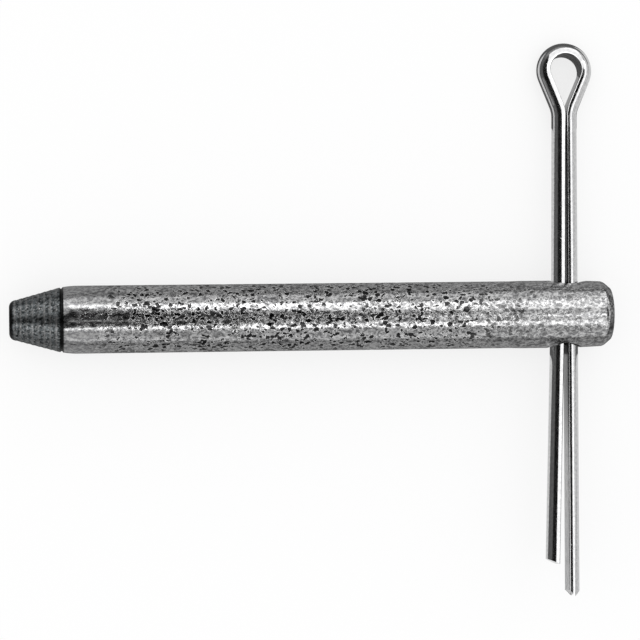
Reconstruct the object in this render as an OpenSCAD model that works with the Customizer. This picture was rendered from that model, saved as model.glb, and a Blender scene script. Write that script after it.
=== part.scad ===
// Shear bolt with its split pin.
// A straight headless bolt is turned to a lead-in taper at one end and drilled across at the
// other, where a split pin of half-round wire is pushed through.
// It lies as it comes to rest, on its side, with the split pin's eye down on the surface.
// The origin is on the bolt's axis, where its working shank starts. +X runs along the shank
// to the drilled butt end, +Y runs to the split pin's eye, and +Z is up.

/* [Bolt] */
// Overall length, from the tip's face to the butt's face
bolt_len = 88.8; // [70:0.1:120]
// Diameter of the drawn bar, which is left bare at the drilled end
bar_d = 10; // [8:0.1:12.5]
// Wear of the working shank below the drawn bar, on each side
shank_wear = 0.05; // [0.02:0.01:0.12]
// Length of the unworn drilled end, measured from the butt's face
land_len = 15; // [13:0.1:20]
// Length of the ramp from the worn shank up to the unworn end
blend_len = 1.6; // [1:0.1:3]

/* [Lead-in taper] */
// Diameter at the tip's face, before its edge is rounded
tip_d = 5.4; // [4:0.1:6.5]
// Angle between the taper and the bolt's axis
taper_angle = 15.5; // [12:0.5:20]
// Radius that rounds the tip's edge
tip_round = 0.75; // [0.2:0.05:1]
// Radius that rounds the corner between the taper and the shank
shoulder_r = 2.5; // [1:0.1:4]
// Distance between the coarse turned rings on the taper
ring_pitch = 0.85; // [0.6:0.05:1.4]
// Depth of each turned ring
ring_depth = 0.06; // [0.03:0.01:0.12]
// Width of the tool groove that ends the taper
groove_w = 0.38; // [0.2:0.02:0.5]
// Depth of the tool groove
groove_depth = 0.16; // [0.08:0.01:0.25]
// Distance from the tool groove's middle to the end of the taper
groove_back = 0.55; // [0.4:0.05:0.9]

/* [Butt end] */
// Length of the chamfer on the butt's edge, along the bolt's axis
butt_chamfer = 1.1; // [0.4:0.05:1.4]
// Angle between the chamfer and the bolt's axis
chamfer_angle = 40; // [30:1:50]
// Length over which the butt end is eased off, measured from its face
ease_len = 5.5; // [3:0.1:8]
// How far the eased end falls below the drawn bar, on each side
ease_drop = 0.18; // [0.1:0.02:0.4]

/* [Cross hole] */
// Distance from the cross hole's axis to the butt's face
hole_from_butt = 6.85; // [5.5:0.05:9]
// Clearance between the leaning, splayed legs and the hole's wall, on each side
hole_clearance = 0.08; // [0.05:0.01:0.4]
// How much wider than the hole its countersunk mouth is, on the eye's side
sink_extra = 1.5; // [0.6:0.1:1.8]
// How far the countersink was cut off centre, towards the butt
sink_shift = 0.7; // [0:0.05:0.8]
// How much wider than the hole its deburred mouth is, on the legs' side
deburr_extra = 0.6; // [0.2:0.05:1]

/* [Split pin] */
// Diameter of the two half-round legs, laid flat to flat
pin_d = 3.6; // [2.8:0.1:4.4]
// Outer width of the eye
eye_d = 8.3; // [7:0.1:10.5]
// Angle between the eye's straight flanks and the pin's axis
flank_angle = 22.5; // [18:0.5:28]
// Outer radius of the bend at the neck, below the eye
neck_r = 4; // [3:0.1:6]
// Distance from the drawn bar's surface to the end of the neck
neck_standoff = 24.5; // [16:0.1:32]
// Length of the short leg, from the end of the neck
short_leg_len = 66.5; // [54:0.1:82]
// How much longer the other leg is
long_leg_extra = 4.7; // [2:0.1:8]
// Depth of the blunt point on the long leg
point_depth = 0.9; // [0.5:0.05:1.2]
// How much the short leg's end is cut away at its outer edge
short_slant = 0.7; // [0.2:0.05:1]

/* [Set of the legs] */
// Gap between the legs at the end of the neck
neck_gap = 0.16; // [0.08:0.02:0.4]
// Angle by which the long leg leaves the pin's axis, all the way down
long_leg_splay = 0.15; // [0.1:0.01:0.4]
// Angle by which the short leg leaves the pin's axis, between the neck and the bolt
short_leg_splay = 0.27; // [0.1:0.01:0.4]
// Angle of the short leg from the hole's upper mouth on, where it is set outwards
short_leg_set = 1.3; // [0.8:0.05:1.8]
// Lean of the split pin in its loose hole, with the legs towards the tip
pin_lean = 1.45; // [0:0.05:1.8]

/* [Hidden] */
$fn = 96;

// Steps that draw an arc of the bolt's turned outline
arc_steps = 5;
// Share of a turned ring over which its ridge rises
ring_rise = 0.8;
// Length that lets a cutter run past the surface it cuts
run_out = 1;
// How much slimmer all round a stretch of wire is than the one that it is plugged into
plug_ease = 0.015;
// Length by which a stretch of wire is plugged into the one above it
plug_len = 0.1;

bar_r = bar_d / 2;
shank_r = bar_r - shank_wear;
tip_r = tip_d / 2;
taper_len = (shank_r - tip_r) / tan(taper_angle);
shank_start = taper_len + shoulder_r * tan(taper_angle / 2);
land_start = bolt_len - land_len;
groove_x = taper_len - groove_back;
// The rings start where the tip's rounding ends, and stop at the tool groove
ring_start = tip_round * (1 + sin(taper_angle));
ring_count = floor((groove_x - groove_w - ring_start) / ring_pitch);
hole_x = bolt_len - hole_from_butt;
chamfer_drop = butt_chamfer * tan(chamfer_angle);

// The wire is half of a round bar, so its thickness is its radius
wire_r = pin_d / 2;
neck_y = bar_r + neck_standoff;
eye_in_r = eye_d / 2 - wire_r;
// The flat side of the wire runs round the neck's bend at this radius
neck_flat_r = neck_r + wire_r;
flank_len = (eye_in_r * cos(flank_angle) - neck_gap / 2 - neck_flat_r * (1 - cos(flank_angle)))
    / sin(flank_angle);
eye_y = neck_y + neck_flat_r * sin(flank_angle) + flank_len * cos(flank_angle)
    + eye_in_r * sin(flank_angle);

// How far each leg's flat side is from the pin's axis, at the hole's upper and lower mouths
short_gap_in = neck_gap / 2 + neck_standoff * tan(short_leg_splay);
short_gap_out = short_gap_in + bar_d * tan(short_leg_set);
long_gap_in = neck_gap / 2 + neck_standoff * tan(long_leg_splay);
long_gap_out = neck_gap / 2 + (neck_standoff + bar_d) * tan(long_leg_splay);
// The pin leans across the hole, so its legs reach furthest to each side at opposite mouths
lean_shift = bar_r * tan(pin_lean);
tip_side_reach = short_gap_out + lean_shift;
butt_side_reach = max(long_gap_in + lean_shift, long_gap_out - lean_shift);
hole_d = pin_d + tip_side_reach + butt_side_reach + 2 * hole_clearance;
// Where the leaning pin crosses the bolt's axis, with the same clearance on both sides
pin_x = hole_x + (tip_side_reach - butt_side_reach) / 2;

// The bolt rolls until the lowest point of the eye's wire meets the surface it lies on
rest_roll = asin((bar_r - wire_r) / (eye_y * cos(pin_lean) + eye_in_r));

// Radius of the plain taper at a distance from the tip's face
function taper_r(x) = tip_r + x * tan(taper_angle);

// Points of an arc as [radius, distance], for the outline that is turned round the axis
function arc(r, x, radius, from, to) = [
    for (i = [0:arc_steps])
        let (a = from + (to - from) * i / arc_steps)
        [r + radius * sin(a), x + radius * cos(a)]
];

// One turned ring: the cut falls sharply, then climbs back to the plain taper
function ring(x) = [
    [taper_r(x), x],
    [taper_r(x) - ring_depth, x + (1 - ring_rise) * ring_pitch]
];

// Outline of the bolt from the tip's face to the butt's face, as [radius, distance]
function bolt_outline() = concat(
    [[0, 0]],
    arc(tip_r - tip_round * tan(45 - taper_angle / 2), tip_round, tip_round, 180, 90 + taper_angle),
    [for (i = [0:ring_count - 1]) each ring(ring_start + i * ring_pitch)],
    [[taper_r(groove_x - groove_w / 2), groove_x - groove_w / 2]],
    [[taper_r(groove_x) - groove_depth, groove_x - groove_w / 4]],
    [[taper_r(groove_x) - groove_depth, groove_x + groove_w / 4]],
    [[taper_r(groove_x + groove_w / 2), groove_x + groove_w / 2]],
    arc(shank_r - shoulder_r, shank_start, shoulder_r, 90 + taper_angle, 90),
    [[shank_r, land_start]],
    [[bar_r, land_start + blend_len]],
    [[bar_r, bolt_len - ease_len]],
    [[bar_r - ease_drop, bolt_len - butt_chamfer]],
    [[bar_r - ease_drop - chamfer_drop, bolt_len]],
    [[0, bolt_len]]
);

// Turns what is drawn upright on the bolt to the way it lies
module at_rest() {
    rotate([-rest_roll, 0, 0])
        translate([-shank_start, 0, 0])
            children();
}

// Cuts a mouth 45 degrees wide into the bar, with its widest circle level with the bar's crest
module mouth(extra) {
    cone_d = hole_d + extra;
    rotate([-90, 0, 0])
        translate([0, 0, bar_r - cone_d / 2])
            cylinder(d1 = 0, d2 = cone_d + 2 * run_out, h = cone_d / 2 + run_out);
}

module cross_hole() {
    translate([hole_x, 0, 0]) {
        rotate([90, 0, 0])
            cylinder(d = hole_d, h = bar_d + 2 * run_out, center = true);
        translate([sink_shift, 0, 0])
            mouth(sink_extra);
        mirror([0, 1, 0])
            mouth(deburr_extra);
    }
}

module shear_bolt() {
    color("slategray")
        at_rest()
            difference() {
                rotate([0, 90, 0])
                    rotate_extrude()
                        polygon(bolt_outline());
                cross_hole();
            }
}

// Section of the wire: the flat side is along the Y axis, and the round side faces +X
module half_round(ease) {
    intersection() {
        circle(r = wire_r - ease);
        translate([ease, -wire_r])
            square([wire_r, pin_d]);
    }
}

// A straight stretch of wire that runs down from the origin, where it is plugged into another
module straight_wire(length, ease) {
    translate([0, plug_len, 0])
        rotate([90, 0, 0])
            linear_extrude(height = plug_len + length)
                half_round(ease);
}

// The end of a leg, with its outline given as the depths at its flat, middle and outer edge
module leg_end(flat_end, middle_end, outer_end, ease) {
    intersection() {
        straight_wire(max(flat_end, middle_end, outer_end) + run_out, ease);
        translate([0, 0, -pin_d])
            linear_extrude(height = 2 * pin_d)
                polygon([
                    [-run_out, run_out],
                    [-run_out, -flat_end],
                    [0, -flat_end],
                    [wire_r / 2, -middle_end],
                    [wire_r, -outer_end],
                    [wire_r + run_out, -outer_end],
                    [wire_r + run_out, run_out]
                ]);
    }
}

// The leg on the butt's side, drawn down from the end of the neck
module long_leg() {
    length = short_leg_len + long_leg_extra;
    rotate([0, 0, long_leg_splay])
        leg_end(length - point_depth, length, length - point_depth, plug_ease);
}

// The leg on the tip's side, drawn as if it were on +X: it is set outwards at the bolt
module short_leg() {
    length = short_leg_len - neck_standoff;
    rotate([0, 0, short_leg_splay]) {
        straight_wire(neck_standoff, plug_ease);
        translate([0, -neck_standoff, 0])
            rotate([0, 0, short_leg_set - short_leg_splay])
                leg_end(length, length - short_slant / 2, length - short_slant, 2 * plug_ease);
    }
}

// The bend of the neck, drawn down from the end of a flank and turned until it runs straight
module neck_bend() {
    translate([neck_flat_r, 0, 0])
        rotate([0, 0, 180])
            rotate_extrude(angle = flank_angle)
                translate([neck_flat_r, 0])
                    mirror([1, 0])
                        half_round(0);
}

// A flank of the eye on +X's side with the bend below it, and the eye's middle at the origin
module flank() {
    rotate([0, 0, -flank_angle])
        translate([eye_in_r, 0, 0]) {
            straight_wire(flank_len + plug_len, plug_ease);
            translate([0, -flank_len, 0])
                neck_bend();
        }
}

module eye() {
    rotate([0, 0, -flank_angle])
        rotate_extrude(angle = 180 + 2 * flank_angle)
            translate([eye_in_r, 0])
                half_round(0);
    flank();
    mirror([1, 0, 0])
        flank();
}

module split_pin() {
    color("silver")
        at_rest()
            translate([pin_x, 0, 0])
                rotate([0, 0, -pin_lean]) {
                    translate([0, eye_y, 0])
                        eye();
                    translate([0, neck_y, 0]) {
                        translate([neck_gap / 2, 0, 0])
                            long_leg();
                        mirror([1, 0, 0])
                            translate([neck_gap / 2, 0, 0])
                                short_leg();
                    }
                }
}

shear_bolt();
split_pin();
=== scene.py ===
"""Looks of the shear bolt and its split pin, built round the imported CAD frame."""
import math

import bpy
import numpy as np
from mathutils import Matrix, Vector


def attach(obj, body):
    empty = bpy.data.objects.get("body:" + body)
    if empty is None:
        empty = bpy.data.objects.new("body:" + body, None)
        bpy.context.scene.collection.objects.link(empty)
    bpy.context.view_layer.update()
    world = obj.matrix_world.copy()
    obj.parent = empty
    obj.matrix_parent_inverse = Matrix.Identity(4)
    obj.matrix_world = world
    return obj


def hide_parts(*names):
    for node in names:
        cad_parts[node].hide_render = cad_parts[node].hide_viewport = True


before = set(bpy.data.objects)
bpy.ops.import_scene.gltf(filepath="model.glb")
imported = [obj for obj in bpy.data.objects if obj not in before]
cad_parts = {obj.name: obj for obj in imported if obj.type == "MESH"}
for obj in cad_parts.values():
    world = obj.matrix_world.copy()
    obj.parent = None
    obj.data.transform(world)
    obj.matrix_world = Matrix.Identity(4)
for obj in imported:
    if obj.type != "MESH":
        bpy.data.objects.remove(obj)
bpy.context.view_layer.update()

MM = 0.001

# ---------------------------------------------------------------- sizes, in millimetres
# The bolt, with distances measured from the tip's face
BOLT_LEN = 88.8
BAR_R = 5.0
SHANK_R = 4.95
TIP_R = 2.7
TAPER = math.radians(15.5)
TIP_ROUND = 0.75
SHOULDER_R = 2.5
TAPER_LEN = (SHANK_R - TIP_R) / math.tan(TAPER)
SHANK_START = TAPER_LEN + SHOULDER_R * math.tan(TAPER / 2)
LAND_LEN = 15
LAND_START = BOLT_LEN - LAND_LEN
BLEND_LEN = 1.6
CHAMFER_LEN = 1.1
CHAMFER_ANGLE = math.radians(40)
CHAMFER_DROP = CHAMFER_LEN * math.tan(CHAMFER_ANGLE)
EASE_LEN = 5.5
EASE_DROP = 0.18
GROOVE_W = 0.38
GROOVE_DEPTH = 0.16
GROOVE_BACK = 0.55
GROOVE_X = TAPER_LEN - GROOVE_BACK
RING_PITCH = 0.85
RING_DEPTH = 0.06
RING_FALL = 0.2     # share of the pitch over which a ring is cut down
RING_START = TIP_ROUND * (1 + math.sin(TAPER))
RING_COUNT = int((GROOVE_X - GROOVE_W - RING_START) / RING_PITCH)
HOLE_FROM_BUTT = 6.85
HOLE_X = BOLT_LEN - HOLE_FROM_BUTT
HOLE_CLEARANCE = 0.08
SINK_EXTRA = 1.5
SINK_SHIFT = 0.7
SINK_LESS_BELOW = 0.22
DEBURR_EXTRA = 0.6

# What wear has taken off the edges, and the pits that rust has left
WORN_TIP_ROUND = 1.0
WORN_SHOULDER_R = 14.0
WORN_BUTT_REACH = 0.35
PIT_SEED = 17
PIT_CLUSTERS = 70
PITS_ALONE = 260
PIT_SLOPE = (0.06, 0.14)    # depth over half width
FULLY_PITTED = 0.04         # depth at which the steel shows as rusted

# The split pin, with lengths measured from the end of its neck
WIRE_R = 1.8
WIRE_EDGE_R = 0.12
EYE_D = 8.3
EYE_IN_R = EYE_D / 2 - WIRE_R
FLANK = math.radians(22.5)
NECK_R = 4
NECK_FLAT_R = NECK_R + WIRE_R
NECK_GAP = 0.16
NECK_STANDOFF = 24.5
NECK_Y = BAR_R + NECK_STANDOFF
FLANK_LEN = (EYE_IN_R * math.cos(FLANK) - NECK_GAP / 2
             - NECK_FLAT_R * (1 - math.cos(FLANK))) / math.sin(FLANK)
EYE_Y = (NECK_Y + NECK_FLAT_R * math.sin(FLANK) + FLANK_LEN * math.cos(FLANK)
         + EYE_IN_R * math.sin(FLANK))
SHORT_LEN = 66.5
LONG_LEN = 71.2
POINT_DEPTH = 0.9
SHORT_SLANT = 0.7
END_CUT_RUN = 2.5   # length of leg over which the mesh leads into its slanted end
LONG_SPLAY = math.radians(0.15)
SHORT_SPLAY = math.radians(0.27)
SHORT_SET = math.radians(1.3)
LEAN = math.radians(1.45)

# How the pin sits in its hole, and how far its eye's rest on the floor rolls the bolt
SHORT_GAP_OUT = (NECK_GAP / 2 + NECK_STANDOFF * math.tan(SHORT_SPLAY)
                 + 2 * BAR_R * math.tan(SHORT_SET))
LONG_GAP_IN = NECK_GAP / 2 + NECK_STANDOFF * math.tan(LONG_SPLAY)
HOLE_D = (2 * WIRE_R + SHORT_GAP_OUT + LONG_GAP_IN + 2 * BAR_R * math.tan(LEAN)
          + 2 * HOLE_CLEARANCE)
PIN_X = HOLE_X + (SHORT_GAP_OUT - LONG_GAP_IN) / 2
ROLL = math.asin((BAR_R - WIRE_R) / (EYE_Y * math.cos(LEAN) + EYE_IN_R))

BOLT_TURNED = Matrix.Rotation(-ROLL, 4, "X") @ Matrix.Translation((-SHANK_START, 0, 0))
PIN_PLACE = BOLT_TURNED @ Matrix.Translation((PIN_X, 0, 0)) @ Matrix.Rotation(-LEAN, 4, "Z")

# How finely the meshes are cut
BOLT_SEGMENTS = 160
HOLE_SEGMENTS = 96
TIP_ROWS = 9
TAPER_STEP = 0.06
SHANK_STEP = 0.22
BUTT_STEP = 0.08
BUTT_FINE_LEN = 2
LEG_STEP = 0.25
NECK_ROWS = 12
FLANK_ROWS = 14
EYE_ROWS = 72


# ---------------------------------------------------------------- meshes
def placed(points, matrix):
    """Points in millimetres, moved by matrix and given in metres."""
    m = np.array(matrix)
    return (points @ m[:3, :3].T + m[:3, 3]) * MM


def new_mesh(name, verts, faces):
    """A new object in the scene, from vertices in metres and faces."""
    mesh = bpy.data.meshes.new(name)
    mesh.from_pydata(verts.tolist(), [], faces)
    mesh.validate()
    obj = bpy.data.objects.new(name, mesh)
    bpy.context.scene.collection.objects.link(obj)
    return obj


def shade(obj, angle):
    """Smooth shading, with edges sharper than angle (in degrees) kept crisp."""
    obj.data.polygons.foreach_set("use_smooth", [True] * len(obj.data.polygons))
    obj.data.set_sharp_from_angle(angle=math.radians(angle))


def point_values(obj, name, values):
    """Gives each vertex a value, for the material to read."""
    att = obj.data.attributes.new(name, "FLOAT", "POINT")
    att.data.foreach_set("value", values.astype(float))


def tube_faces(rows, around, flip=False):
    """Faces of a closed tube of rows rings, each of around vertices, with both ends capped."""
    faces = []
    for i in range(rows - 1):
        a, b = i * around, (i + 1) * around
        for j in range(around):
            k = (j + 1) % around
            faces.append((a + j, a + k, b + k, b + j) if flip else (a + j, b + j, b + k, a + k))
    first = range(around)
    last = range((rows - 1) * around, rows * around)
    faces.append(tuple(reversed(first)) if flip else tuple(first))
    faces.append(tuple(last) if flip else tuple(reversed(last)))
    return faces


def revolve(name, stations, radii, segments, matrix):
    """A closed solid turned round the X axis, from its radius at each station."""
    ang = np.linspace(0, 2 * math.pi, segments, endpoint=False)
    rows = len(stations)
    radii = np.broadcast_to(np.asarray(radii, float).reshape(rows, -1), (rows, segments))
    verts = np.stack([np.repeat(np.asarray(stations, float)[:, None], segments, 1),
                      radii * np.sin(ang), radii * np.cos(ang)], -1).reshape(-1, 3)
    return new_mesh(name, placed(verts, matrix), tube_faces(rows, segments))


# ---------------------------------------------------------------- the bolt
def bolt_radius(x):
    """Radius of the turned bolt at distance x from the tip's face."""
    x = np.asarray(x, float)
    r = TIP_R + x * math.tan(TAPER)
    # The corner between taper and shank, worn round
    corner_end = TAPER_LEN + WORN_SHOULDER_R * math.tan(TAPER / 2)
    d = np.clip(corner_end - x, 0, None)
    arc = SHANK_R - WORN_SHOULDER_R + np.sqrt(np.clip(WORN_SHOULDER_R ** 2 - d ** 2, 0, None))
    r = np.where(x > corner_end - WORN_SHOULDER_R * math.sin(TAPER), arc, r)
    r = np.where(x >= corner_end, SHANK_R, r)
    # The tool's rings, and the groove at the taper's root
    ring = (x - RING_START) / RING_PITCH
    in_rings = (ring >= 0) & (ring < RING_COUNT)
    f = np.mod(ring, 1)
    cut = np.where(f < RING_FALL, f / RING_FALL, (1 - f) / (1 - RING_FALL))
    r = np.where(in_rings, r - RING_DEPTH * cut, r)
    g = np.clip(1 - (np.abs(x - GROOVE_X) - GROOVE_W / 4) / (GROOVE_W / 4), 0, 1)
    r = r - GROOVE_DEPTH * g
    # The tip's edge
    tip_c = TIP_R - WORN_TIP_ROUND * math.tan(math.pi / 4 - TAPER / 2)
    d = np.clip(WORN_TIP_ROUND - x, 0, WORN_TIP_ROUND)
    tip = tip_c + np.sqrt(np.clip(WORN_TIP_ROUND ** 2 - d ** 2, 0, None))
    r = np.where(x < WORN_TIP_ROUND * (1 - math.sin(TAPER)), np.minimum(r, tip), r)
    # The unworn land, eased and chamfered towards the butt
    land = np.clip((x - LAND_START) / BLEND_LEN, 0, 1)
    r = np.where(x > LAND_START, SHANK_R + (BAR_R - SHANK_R) * land, r)
    e0, e1 = BOLT_LEN - EASE_LEN, BOLT_LEN - CHAMFER_LEN
    ease = np.clip((x - e0) / (e1 - e0), 0, 1)
    r = np.where(x > e0, BAR_R - EASE_DROP * ease, r)
    chamfer = (x - e1) / CHAMFER_LEN
    return np.where(x > e1, BAR_R - EASE_DROP - CHAMFER_DROP * chamfer, r)


def worn_radius(x):
    """bolt_radius with the edges of the butt worn a little round."""
    near = np.linspace(-WORN_BUTT_REACH, WORN_BUTT_REACH, 15)
    spread = bolt_radius(np.clip(np.asarray(x, float)[:, None] + near, 0, BOLT_LEN)).mean(1)
    return np.where(np.asarray(x) > LAND_START, np.minimum(spread, bolt_radius(x)), bolt_radius(x))


def drill(obj, cutter):
    """Cuts cutter out of obj's mesh."""
    cut = obj.modifiers.new("drill", "BOOLEAN")
    cut.operation = "DIFFERENCE"
    cut.solver = "MANIFOLD"
    cut.object = cutter
    made = obj.evaluated_get(bpy.context.evaluated_depsgraph_get())
    mesh = bpy.data.meshes.new_from_object(made)
    obj.modifiers.clear()
    old = obj.data
    obj.data = mesh
    mesh.name = obj.name
    bpy.data.meshes.remove(old)
    bpy.data.objects.remove(cutter)


def dent_bolt(obj, pos, x, radial):
    """Sinks shallow pits of many sizes into the shank, in patches as rust leaves them."""
    rng = np.random.default_rng(PIT_SEED)
    girth = 2 * math.pi * BAR_R
    around = np.arctan2(pos[:, 1], pos[:, 2]) * BAR_R
    on_skin = np.abs(radial - worn_radius(x)) < 0.02
    order = np.argsort(x)
    xs = x[order]
    # Each pit's place along and round the shank, and its half width
    spots = []
    for _ in range(PIT_CLUSTERS):
        cx, ca = rng.uniform(SHANK_START + 4, LAND_START + 4), rng.uniform(0, girth)
        for _ in range(rng.integers(4, 13)):
            spots.append((cx + rng.normal(0, 1.6), ca + rng.normal(0, 0.9),
                          rng.uniform(0.22, 0.5)))
    for _ in range(PITS_ALONE):
        spots.append((rng.uniform(SHANK_START, BOLT_LEN - 3), rng.uniform(0, girth),
                      rng.uniform(0.2, 0.34)))
    sunk = np.zeros(len(x))
    for cx, ca, size in spots:
        long_r = size * rng.uniform(1.0, 1.5)
        tilt = rng.uniform(-0.6, 0.6)
        depth = size * rng.uniform(*PIT_SLOPE)
        if cx < SHANK_START + 1.5:
            continue
        lo, hi = np.searchsorted(xs, [cx - long_r, cx + long_r])
        near = order[lo:hi]
        dx = x[near] - cx
        da = (around[near] - ca + girth / 2) % girth - girth / 2
        u = (dx * math.cos(tilt) + da * math.sin(tilt)) / long_r
        v = (da * math.cos(tilt) - dx * math.sin(tilt)) / size
        fall = np.clip(1 - u ** 2 - v ** 2, 0, 1)
        sunk[near] = np.maximum(sunk[near], depth * fall ** 1.5)
    sunk = np.where(on_skin, sunk, 0)
    moved = pos.copy()
    moved[:, 1:] *= (1 - sunk / np.maximum(radial, 0.1))[:, None]
    obj.data.vertices.foreach_set("co", placed(moved, BOLT_TURNED).ravel())
    obj.data.update()
    point_values(obj, "pitted", np.clip(sunk / FULLY_PITTED, 0, 1))


def make_bolt():
    """The bolt, turned, drilled, countersunk and pitted."""
    quarter = np.linspace(0, math.pi / 2, TIP_ROWS)
    stations = np.unique(np.round(np.concatenate([
        WORN_TIP_ROUND * (1 - np.cos(quarter)),
        np.arange(WORN_TIP_ROUND + TAPER_STEP, TAPER_LEN + 0.2, TAPER_STEP),
        np.arange(TAPER_LEN + 0.2, BOLT_LEN - BUTT_FINE_LEN, SHANK_STEP),
        np.arange(BOLT_LEN - BUTT_FINE_LEN, BOLT_LEN, BUTT_STEP), [BOLT_LEN]]), 4))
    obj = revolve("bolt_turned", stations, worn_radius(stations), BOLT_SEGMENTS, BOLT_TURNED)
    # The cutters are turned round X, so they are stood up along Y first
    upright = (BOLT_TURNED @ Matrix.Translation((HOLE_X, 0, 0))
               @ Matrix.Rotation(math.pi / 2, 4, "Z"))
    drill(obj, revolve("hole", [-BAR_R - 1, BAR_R + 1], [HOLE_D / 2] * 2, HOLE_SEGMENTS, upright))
    # The countersinks, the wider one of which is cut less deep on its lower side
    height = np.cos(np.linspace(0, 2 * math.pi, HOLE_SEGMENTS, endpoint=False))
    low_side = np.clip((0.2 - height) / 0.5, 0, 1)
    for side, extra, shift, less in ((1, SINK_EXTRA, SINK_SHIFT, SINK_LESS_BELOW),
                                     (-1, DEBURR_EXTRA, 0, 0)):
        cone_r = (HOLE_D + extra) / 2
        turned = (BOLT_TURNED @ Matrix.Translation((HOLE_X + shift, 0, 0))
                  @ Matrix.Rotation(side * math.pi / 2, 4, "Z"))
        widths = np.outer([0.01, cone_r + 1], 1 - less * low_side)
        cone = revolve("mouth", [BAR_R - cone_r + 0.01, BAR_R + 1], widths, HOLE_SEGMENTS, turned)
        drill(obj, cone)
    back = np.array(BOLT_TURNED.inverted())
    pos = np.empty(len(obj.data.vertices) * 3)
    obj.data.vertices.foreach_get("co", pos)
    pos = pos.reshape(-1, 3) / MM @ back[:3, :3].T + back[:3, 3]
    x, radial = pos[:, 0], np.hypot(pos[:, 1], pos[:, 2])
    # The faces that the drills have left, which are rougher and carry painted shade in the hole's
    # mouths
    near_hole = np.hypot(x - HOLE_X, pos[:, 2]) < HOLE_D / 2 + SINK_EXTRA + 1
    point_values(obj, "drilled", near_hole & (radial < worn_radius(x) - 0.03))
    dent_bolt(obj, pos, x, radial)
    shade(obj, 32)
    return obj


# ---------------------------------------------------------------- the split pin
def pin_path():
    """Points of the wire's flat side along its length, with the way that its back faces."""
    pts, outs = [], []

    def put(p, out):
        pts.append(p)
        outs.append(out)

    # Long leg, from its end up to the neck
    down = np.array([math.sin(LONG_SPLAY), -math.cos(LONG_SPLAY)])
    side = np.array([math.cos(LONG_SPLAY), math.sin(LONG_SPLAY)])
    neck = np.array([NECK_GAP / 2, NECK_Y])
    for t in np.linspace(LONG_LEN, 0, int(LONG_LEN / LEG_STEP)):
        put(neck + down * t, side)
    # Neck and flank, eye, and the same flank and neck again on the other side
    centre = neck + np.array([NECK_FLAT_R, 0])
    bend = []
    for a in np.linspace(0, FLANK, NECK_ROWS)[1:]:
        bend.append((centre + NECK_FLAT_R * np.array([-math.cos(a), math.sin(a)]),
                     np.array([math.cos(a), -math.sin(a)])))
    up = np.array([math.sin(FLANK), math.cos(FLANK)])
    start, side = bend[-1]
    for t in np.linspace(0, FLANK_LEN, FLANK_ROWS)[1:]:
        bend.append((start + up * t, side))
    for p, out in bend:
        put(p, out)
    for a in np.linspace(-FLANK, math.pi + FLANK, EYE_ROWS)[1:]:
        out = np.array([math.cos(a), math.sin(a)])
        put(np.array([0, EYE_Y]) + EYE_IN_R * out, out)
    mirror = np.array([-1, 1])
    for p, out in reversed(bend[:-1]):
        put(p * mirror, out * mirror)
    # Short leg, from the neck down, set outwards where it enters the bolt
    put(neck * mirror, np.array([-1.0, 0.0]))
    for angle, length in ((SHORT_SPLAY, NECK_STANDOFF), (SHORT_SET, SHORT_LEN - NECK_STANDOFF)):
        down = np.array([-math.sin(angle), -math.cos(angle)])
        side = np.array([-math.cos(angle), math.sin(angle)])
        begin = pts[-1]
        for t in np.linspace(0, length, int(length / LEG_STEP))[1:]:
            put(begin + down * t, side)
    return np.array(pts), np.array(outs)


def d_section(n_back=40, n_corner=8, n_flat=5):
    """Half-round section as (distance from the flat, height), with rounded edges."""
    edge = WIRE_EDGE_R
    c = math.asin(edge / (WIRE_R - edge))
    cy = (WIRE_R - edge) * math.cos(c)
    pts = []
    for a in np.linspace(-(math.pi / 2 - c), math.pi / 2 - c, n_back):
        pts.append((WIRE_R * math.cos(a), WIRE_R * math.sin(a)))
    for a in np.linspace(math.pi / 2 - c, math.pi, n_corner + 1)[1:]:
        pts.append((edge + edge * math.cos(a), cy + edge * math.sin(a)))
    for h in np.linspace(cy, -cy, n_flat + 1)[1:]:
        pts.append((0.0, h))
    for a in np.linspace(math.pi, 3 * math.pi / 2 + c, n_corner + 1)[1:-1]:
        pts.append((edge + edge * math.cos(a), -cy + edge * math.sin(a)))
    return np.array(pts)


def make_pin():
    """The split pin, its section swept along its path, with slanted ends."""
    path, outs = pin_path()
    sec = d_section()
    n, m = len(sec), len(path)
    s = np.concatenate([[0], np.cumsum(np.linalg.norm(np.diff(path, axis=0), axis=1))])
    total = s[-1]
    tang = np.gradient(path, axis=0)
    tang /= np.linalg.norm(tang, axis=1)[:, None]
    depth = sec[:, 0]
    # How far each end falls short of the leg's full length, across the section
    long_cut = np.abs(depth - WIRE_R / 2) / (WIRE_R / 2) * POINT_DEPTH
    short_cut = depth / WIRE_R * SHORT_SLANT
    verts = np.zeros((m, n, 3))
    for i in range(m):
        at_long = max(0.0, 1 - s[i] / END_CUT_RUN)
        at_short = max(0.0, 1 - (total - s[i]) / END_CUT_RUN)
        shift = at_long * long_cut - at_short * short_cut
        verts[i, :, :2] = path[i] + np.outer(depth, outs[i]) + np.outer(shift, tang[i])
        verts[i, :, 2] = sec[:, 1]
    obj = new_mesh("pin_wire", placed(verts.reshape(-1, 3), PIN_PLACE), tube_faces(m, n, flip=True))
    shade(obj, 40)
    # For the drawn streaks, in millimetres: the place along the wire from the top of the eye,
    # the place round its section, and the distance from its flat
    girth = np.concatenate([[0], np.cumsum(np.linalg.norm(np.diff(sec, axis=0), axis=1))])
    top = s[np.argmax(path[:, 1])]
    point_values(obj, "along", np.repeat(s - top, n))
    point_values(obj, "around", np.tile(girth, m))
    point_values(obj, "depth", np.tile(depth, m))
    return obj


bolt = make_bolt()
pin = make_pin()


# ---------------------------------------------------------------- materials
def add(tree, kind, inputs=None, **props):
    """A new node, with each input set to a value or linked from another node's output."""
    made = tree.nodes.new("ShaderNode" + kind)
    for key, value in props.items():
        setattr(made, key, value)
    for key, value in (inputs or {}).items():
        if isinstance(value, bpy.types.NodeSocket):
            tree.links.new(value, made.inputs[key])
        else:
            made.inputs[key].default_value = value
    return made


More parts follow.
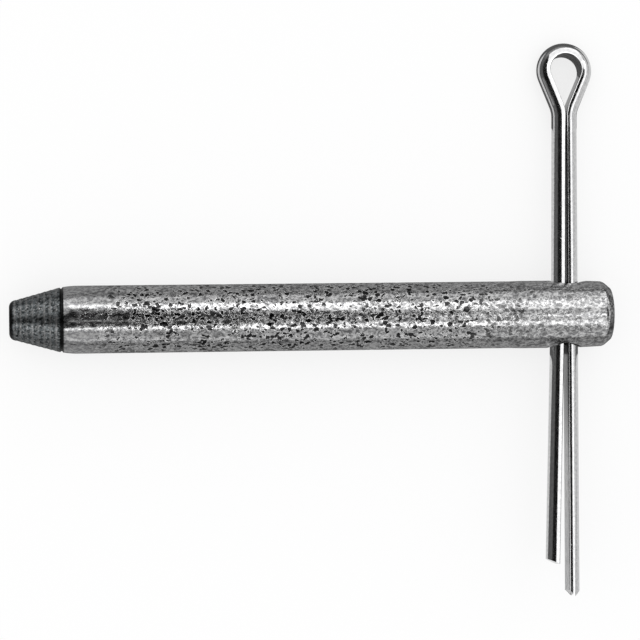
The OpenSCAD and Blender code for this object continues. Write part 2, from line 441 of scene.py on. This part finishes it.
def ramp(tree, value, low, high, to_low=0.0, to_high=1.0):
    """Value brought smoothly from low..high to to_low..to_high, and held at the ends."""
    return add(tree, "MapRange", {"Value": value, "From Min": low, "From Max": high,
                                  "To Min": to_low, "To Max": to_high},
               interpolation_type="SMOOTHSTEP").outputs[0]


def maths(tree, op, a, b=0.0):
    return add(tree, "Math", {0: a, 1: b}, operation=op).outputs[0]


def times(tree, a, *factors):
    for b in factors:
        a = maths(tree, "MULTIPLY", a, b)
    return a


def mixed(tree, share, a, b):
    """Colour a where share is 0, b where it is 1."""
    return add(tree, "Mix", {0: share, 6: a, 7: b}, data_type="RGBA").outputs[2]


def noise(tree, vector, scale, detail=2.0, rough=0.5):
    return add(tree, "TexNoise", {"Vector": vector, "Scale": scale, "Detail": detail,
                                  "Roughness": rough}).outputs[0]


def cells(tree, vector, scale):
    """Distance to the middle of the nearest of many scattered cells."""
    return add(tree, "TexVoronoi", {"Vector": vector, "Scale": scale}).outputs["Distance"]


def scaled(tree, vector, x, y, z):
    return add(tree, "Mapping", {"Vector": vector, "Scale": (x, y, z)}).outputs[0]


def read(tree, name):
    return add(tree, "Attribute", attribute_name=name).outputs["Fac"]


def grey(value, blue=1.0):
    return (value, value, value * blue, 1)


def finished(name, build):
    """A metal whose base colour, roughness and normal come from build."""
    mat = bpy.data.materials.new(name)
    mat.use_nodes = True
    tree = mat.node_tree
    shader = tree.nodes["Principled BSDF"]
    shader.inputs["Metallic"].default_value = 1.0
    for socket, value in zip(("Base Color", "Roughness", "Normal"), build(tree)):
        tree.links.new(value, shader.inputs[socket])
    return mat


def bolt_steel(tree):
    """Turned steel, worn bright and pitted, with a dull dark taper, painted shade on the tip's
    edge, and rougher drilled faces with painted shade.
    """
    mm = scaled(tree, add(tree, "TexCoord").outputs["Object"], 1 / MM, 1 / MM, 1 / MM)
    # Distance from where the shank starts, towards the butt
    x = add(tree, "SeparateXYZ", {0: mm}).outputs[0]
    on_taper = ramp(tree, x, -0.6, -0.85)
    in_groove = times(tree, ramp(tree, x, -1.35, -1.05), ramp(tree, x, -0.5, -0.72))
    tip_edge_shade = ramp(tree, x, -7.75, -8.15, 0.0, 0.9)
    on_land = ramp(tree, x, 60.0, 68.0)
    drilled = read(tree, "drilled")
    pitted = read(tree, "pitted")

    # Irregular pits in two sizes, denser in patches, each with a worn rim that carries a painted
    # highlight
    warp = add(tree, "TexNoise", {"Vector": mm, "Scale": 1.4, "Detail": 2.0}).outputs[1]
    bent = add(tree, "VectorMath", {0: scaled(tree, mm, 0.8, 1, 1), 1: warp},
               operation="ADD").outputs[0]
    patches = noise(tree, mm, 0.32)
    where = times(tree, ramp(tree, x, -0.3, 9.0, 0.12, 1.0), ramp(tree, x, 56.0, 70.0, 1.0, 0.45))
    coarse = maths(tree, "SUBTRACT", cells(tree, bent, 1.3),
                   ramp(tree, patches, 0.3, 0.52, 0.12, 0.46))
    fine = maths(tree, "SUBTRACT", cells(tree, bent, 2.4),
                 ramp(tree, patches, 0.34, 0.56, 0.16, 0.44))
    pit = maths(tree, "MAXIMUM", ramp(tree, coarse, 0.0, -0.1),
                ramp(tree, fine, 0.0, -0.14, 0.0, 0.7))
    rim_and_highlight = maths(tree, "MAXIMUM", ramp(tree, coarse, 0.16, 0.02),
                ramp(tree, fine, 0.18, 0.02, 0.0, 0.6))
    pit = times(tree, pit, where)
    rim_and_highlight = times(tree, rim_and_highlight, maths(tree, "SUBTRACT", 1.0, pit), where)

    # Height of the skin: uneven wear, long waves, pits with their rims, and turning lines
    wear = noise(tree, scaled(tree, mm, 0.6, 1, 1), 2.2)
    waves = noise(tree, scaled(tree, mm, 0.35, 1, 1), 0.9, 1.0)
    lines = noise(tree, scaled(tree, mm, 5.0, 0.35, 0.35), 1.0, 3.0, 0.7)
    height = times(tree, wear, times(tree, ramp(tree, x, 1.0, 13.0, 0.07, 1.0),
                                     ramp(tree, x, 64.0, 72.0, 1.2, 0.5)))
    height = maths(tree, "ADD", height, times(tree, waves, 0.6))
    height = maths(tree, "SUBTRACT", height, times(tree, pit, 1.7))
    height = maths(tree, "ADD", height, times(tree, rim_and_highlight, 0.2))
    height = maths(tree, "ADD", height, times(tree, lines, ramp(tree, on_land, 0, 1, 0.12, 0.4)))
    bump = add(tree, "Bump", {"Height": height, "Distance": 0.000017, "Strength": 1.0}).outputs[0]

    # The shank's steel, mottled, with a painted highlight on the pits' rims and black in the pits
    mottle = noise(tree, scaled(tree, mm, 0.7, 1, 1), 2.6, 3.0, 0.6)
    tone = mixed(tree, ramp(tree, x, 0.0, 8.0), grey(0.38, 1.03), grey(0.22, 1.03))
    steel = mixed(tree, ramp(tree, mottle, 0.38, 0.62), tone, grey(0.76))
    # Painted highlight along the pits' rims
    steel = mixed(tree, times(tree, rim_and_highlight, 0.85), steel, grey(0.95))
    steel = mixed(tree, times(tree, pitted, 0.6), steel, grey(0.06, 1.05))
    steel = mixed(tree, times(tree, pit, 0.95), steel, grey(0.015, 1.05))

    # The taper's dark steel, with a painted highlight along the crests of its rings, and lighter in
    # flecks
    turn = maths(tree, "FRACT", maths(
        tree, "DIVIDE", maths(tree, "ADD", x, SHANK_START - RING_START), RING_PITCH))
    crest_highlight = times(tree, ramp(tree, turn, 0.45, 0.9), ramp(tree, turn, 1.0, 0.97),
                  ramp(tree, noise(tree, mm, 0.9), 0.35, 0.6, 0.1, 0.6))
    flecks = ramp(tree, noise(tree, mm, 4.0, 3.0, 0.6), 0.56, 0.66)
    dark = mixed(tree, ramp(tree, mottle, 0.38, 0.66),
                 (0.03, 0.035, 0.036, 1), (0.24, 0.26, 0.27, 1))
    dark = mixed(tree, crest_highlight, dark, grey(0.45))
    dark = mixed(tree, times(tree, flecks, 0.7), dark, grey(0.7))

    base = mixed(tree, on_taper, steel, dark)
    base = mixed(tree, times(tree, in_groove, 0.95), base, grey(0.012, 1.05))
    # Painted shade: the tip's worn round edge is filled near black
    base = mixed(tree, tip_edge_shade, base, grey(0.012, 1.05))
    # Painted shade on the drilled faces of the hole's mouths
    base = mixed(tree, drilled, base, grey(0.02, 1.05))
    rough = ramp(tree, wear, 0.3, 0.7, 0.12, 0.24)
    rough = maths(tree, "ADD", rough, times(tree, on_taper, 0.14))
    rough = maths(tree, "ADD", rough, times(tree, drilled, 0.3))
    return base, rough, bump


def pin_steel(tree):
    """Bright drawn wire, streaked along its length, duller on the flat, with painted shade on the
    flats in the gap between the legs.
    """
    along, around, depth = (read(tree, name) for name in ("along", "around", "depth"))
    drawn = add(tree, "CombineXYZ", {0: times(tree, along, 0.22), 1: around}).outputs[0]
    streaks = noise(tree, drawn, 3.2, 3.0, 0.6)
    spread = add(tree, "CombineXYZ", {0: along, 1: around}).outputs[0]
    flecks = noise(tree, spread, 2.0, 4.0, 0.6)
    nick = ramp(tree, flecks, 0.68, 0.74)
    on_flat = ramp(tree, depth, 0.06, 0.0)
    from_eye = maths(tree, "ABSOLUTE", along)
    gap_shade = times(tree, ramp(tree, from_eye, 11.0, 15.0), ramp(tree, from_eye, 64.0, 50.0),
                   ramp(tree, depth, 0.16, 0.1))

    height = maths(tree, "ADD", times(tree, streaks, 0.35), times(tree, flecks, 0.5))
    height = maths(tree, "SUBTRACT", height, times(tree, nick, 1.2))
    bump = add(tree, "Bump", {"Height": height, "Distance": 0.000006, "Strength": 1.0}).outputs[0]

    steel = mixed(tree, ramp(tree, flecks, 0.35, 0.65), grey(0.6, 1.01), grey(0.74))
    flat = mixed(tree, ramp(tree, streaks, 0.35, 0.65), grey(0.2, 1.03), grey(0.55))
    base = mixed(tree, on_flat, steel, flat)
    # Painted shade on the legs' flats in the gap between them
    base = mixed(tree, times(tree, gap_shade, 0.92), base, grey(0.025, 1.05))
    base = mixed(tree, times(tree, nick, 0.8), base, grey(0.08))
    rough = ramp(tree, streaks, 0.3, 0.7, 0.07, 0.15)
    rough = maths(tree, "ADD", rough, times(tree, on_flat, 0.15))
    return base, rough, bump


for piece, finish, slot, node, body in (
        (bolt, finished("bolt_worn", bolt_steel), "bolt_steel", "shear_bolt", "bolt"),
        (pin, finished("pin_drawn", pin_steel), "pin_steel", "split_pin", "split_pin")):
    piece.data.materials.clear()
    piece.data.materials.append(finish)
    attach(piece, body)
    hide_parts(node)

# ---------------------------------------------------------------- floor and world
FLOOR_Z = -BAR_R * MM
FLOOR_SIZE = 4
FLOOR_GLOW = 0.75       # share of the floor's white that needs no light
FLOOR_MIRRORED = 0.12   # what the steel mirrors of the floor
SOFT_LIGHT = 1.1
bpy.ops.mesh.primitive_plane_add(size=FLOOR_SIZE, location=(0, 0, FLOOR_Z))
floor = bpy.context.object
floor.name = "floor"
floor_mat = bpy.data.materials.new("floor_white")
floor_mat.use_nodes = True
floor.data.materials.append(floor_mat)
ground = floor_mat.node_tree
ground.nodes.clear()
lit = add(ground, "BsdfDiffuse", {"Color": grey(0.9)}).outputs[0]
glow = add(ground, "Emission", {"Strength": 1.0}).outputs[0]
seen = add(ground, "MixShader", {0: FLOOR_GLOW, 1: lit, 2: glow}).outputs[0]
mirrored = add(ground, "Emission", {"Strength": FLOOR_MIRRORED}).outputs[0]
glossy = add(ground, "LightPath").outputs["Is Glossy Ray"]
surface = add(ground, "MixShader", {0: glossy, 1: seen, 2: mirrored}).outputs[0]
add(ground, "OutputMaterial", {"Surface": surface})

# White all round for the eye and for soft light; what the steel mirrors is a studio that is
# dark overhead and to the left, grey along the horizon, and bright to the right and in the
# corners at the front.
world = bpy.data.worlds.new("studio")
bpy.context.scene.world = world
world.use_nodes = True
sky = world.node_tree
sky.nodes.clear()
toward = add(sky, "SeparateXYZ", {0: add(sky, "TexCoord").outputs["Generated"]}).outputs
low = ramp(sky, toward[2], 0.55, 0.25)
right_side = ramp(sky, toward[0], 0.45, 0.85, 0.3, 0.75)
left_side = ramp(sky, toward[0], -0.45, -0.85, 0.0, 0.24)
horizon = times(sky, low, maths(sky, "SUBTRACT", right_side, left_side))
corners = times(sky, ramp(sky, maths(sky, "ABSOLUTE", toward[0]), 0.34, 0.52),
                ramp(sky, toward[1], -0.2, -0.36), ramp(sky, toward[2], 0.95, 0.8, 0.0, 0.6))
radiance = maths(sky, "ADD", maths(sky, "MAXIMUM", horizon, corners), 0.006)
soft = add(sky, "Background", {"Color": grey(1.0), "Strength": SOFT_LIGHT}).outputs[0]
studio = add(sky, "Background", {"Color": grey(1.0), "Strength": radiance}).outputs[0]
glossy = add(sky, "LightPath").outputs["Is Glossy Ray"]
both = add(sky, "MixShader", {0: glossy, 1: soft, 2: studio}).outputs[0]
add(sky, "OutputWorld", {"Surface": both})

# ---------------------------------------------------------------- camera
# Close above the object, tilted a little to its left and turned a little in its own plane
CAMERA_TILT = math.radians(6.5)
CAMERA_ROLL = math.radians(0.66)
CAMERA_DIST = 0.380
AIM_FROM_TIP = 45.45
AIM_BELOW_PX = 3.1
FOCAL_PX = 2581.0
FRAME_PX = 640
aim = Vector(((AIM_FROM_TIP - SHANK_START) * MM, 0, 0))
aim_below = math.atan(AIM_BELOW_PX / FOCAL_PX)
look = Vector((math.sin(CAMERA_TILT), 0, -math.cos(CAMERA_TILT)))
up = Vector((0, 1, 0))
right = look.cross(up).normalized()
right, up = (right * math.cos(CAMERA_ROLL) - up * math.sin(CAMERA_ROLL),
             up * math.cos(CAMERA_ROLL) + right * math.sin(CAMERA_ROLL))
position = aim - look * CAMERA_DIST
look, up = (look * math.cos(aim_below) - up * math.sin(aim_below),
            up * math.cos(aim_below) + look * math.sin(aim_below))
cam_data = bpy.data.cameras.new("camera")
cam = bpy.data.objects.new("camera", cam_data)
bpy.context.scene.collection.objects.link(cam)
cam_data.sensor_width = 36
cam_data.lens = FOCAL_PX / FRAME_PX * cam_data.sensor_width
cam_data.clip_start = 0.01
cam_data.clip_end = 10
cam.matrix_world = (Matrix.Translation(position)
                    @ Matrix((right, up, -look)).transposed().to_4x4())
bpy.context.scene.camera = cam
bpy.context.scene.view_settings.view_transform = "Standard"


# ---------------------------------------------------------------- softboxes
def softbox(name, width, depth, radiance, matrix, only):
    """An even rectangular light that shines on one piece only."""
    light = bpy.data.lights.new(name, "AREA")
    light.shape = "RECTANGLE"
    light.size = width
    light.size_y = depth
    light.energy = radiance * math.pi * width * depth
    lamp = bpy.data.objects.new(name, light)
    bpy.context.scene.collection.objects.link(lamp)
    lamp.matrix_world = matrix
    lamp.visible_camera = False
    group = bpy.data.collections.new(name + "_on")
    group.objects.link(only)
    lamp.light_linking.receiver_collection = group


def card(name, x_angles, y_angles, radiance, only, centre, dist=0.6):
    """A softbox that fills the given angles from the vertical, seen from centre."""
    ax, ay = [math.radians(sum(v) / 2) for v in (x_angles, y_angles)]
    hx, hy = [math.radians(abs(v[1] - v[0]) / 2) for v in (x_angles, y_angles)]
    z = Vector((math.sin(ax) * math.cos(ay), math.sin(ay), math.cos(ax) * math.cos(ay)))
    x = Vector((math.cos(ax), 0, -math.sin(ax)))
    turn = Matrix((x, z.cross(x), z)).transposed().to_4x4()
    place = Matrix.Translation(Vector(centre) + z * dist)
    softbox(name, 2 * dist * math.tan(hx), 2 * dist * math.tan(hy), radiance, place @ turn, only)


def floor_card(name, x_range, y_range, radiance, only):
    """A softbox that lies just above the floor and shines up, in millimetres."""
    middle = Vector((sum(x_range) / 2, sum(y_range) / 2, -BAR_R + 0.02)) * MM
    turn = Matrix.Rotation(math.pi, 4, "X")
    softbox(name, (x_range[1] - x_range[0]) * MM, (y_range[1] - y_range[0]) * MM, radiance,
            Matrix.Translation(middle) @ turn, only)


# Each softbox has a name, the angles that it fills along x and y, and its radiance; those on
# the floor have ranges in millimetres instead.
# What the shank mirrors: a long box at the back whose near edge runs slantwise, one in front,
# and narrow lines between them towards the butt. Those at the sides show from other angles.
BOLT_MID = (0.037, 0, 0)
BOLT_CARDS = (
    ("back_0", (-14, 2.6), (39, 49), 1.5),
    ("back_1", (2.6, 4.9), (34, 49), 1.5),
    ("back_2", (4.9, 7), (26, 49), 1.5),
    ("back_3", (7, 45), (21, 49), 1.5),
    ("back_low", (-14, 45), (49, 80), 0.42),
    ("front_0", (-48, 2.6), (-36, -29), 1.7),
    ("front_1", (2.6, 6.5), (-36, -27), 1.7),
    ("front_2", (6.5, 45), (-36, -22), 1.7),
    ("front_low", (-14, 45), (-80, -37), 0.4),
    ("line_tip", (-14, 1.6), (-6.5, -3), 0.6),
    ("line_butt", (9, 34), (-6.5, -1.5), 1.8),
    ("crest_butt", (12, 34), (-22, 21), 0.8),
    ("side_left", (-78, -20), (14, 64), 0.5),
    ("side_right", (48, 80), (14, 64), 0.5))
BOLT_FLOOR_CARDS = (
    ("floor_back", (-20, 95), (7, 70), 0.2),
    ("floor_front", (-20, 95), (-70, -7), 0.22))
# What the pin mirrors: bright boxes on both sides with dark between them, and a pale floor
PIN_MID = (0.074, 0, 0)
PIN_CARDS = (
    ("pin_left", (-25, 18), (-30, 30), 1.5),
    ("pin_right", (46, 66), (-30, 30), 1.5),
    ("pin_low_left", (-92, -67), (-40, 40), 0.06),
    ("pin_far", (-18, 50), (18, 74), 1.3))
PIN_FLOOR_CARDS = (
    ("floor_legs", (56, 200), (-50, -6), 0.65),
    ("floor_neck", (61, 200), (5, 28), 0.65),
    ("floor_in_eye", (73.5, 77), (29, 36), 0.4),
    ("floor_eye_right", (79, 200), (28, 46), 0.65),
    ("floor_eye_left", (60, 68), (28, 46), 0.65))
for piece, middle, cards, floor_cards in ((bolt, BOLT_MID, BOLT_CARDS, BOLT_FLOOR_CARDS),
                                          (pin, PIN_MID, PIN_CARDS, PIN_FLOOR_CARDS)):
    for row in cards:
        card(*row, piece, middle)
    for row in floor_cards:
        floor_card(*row, piece)
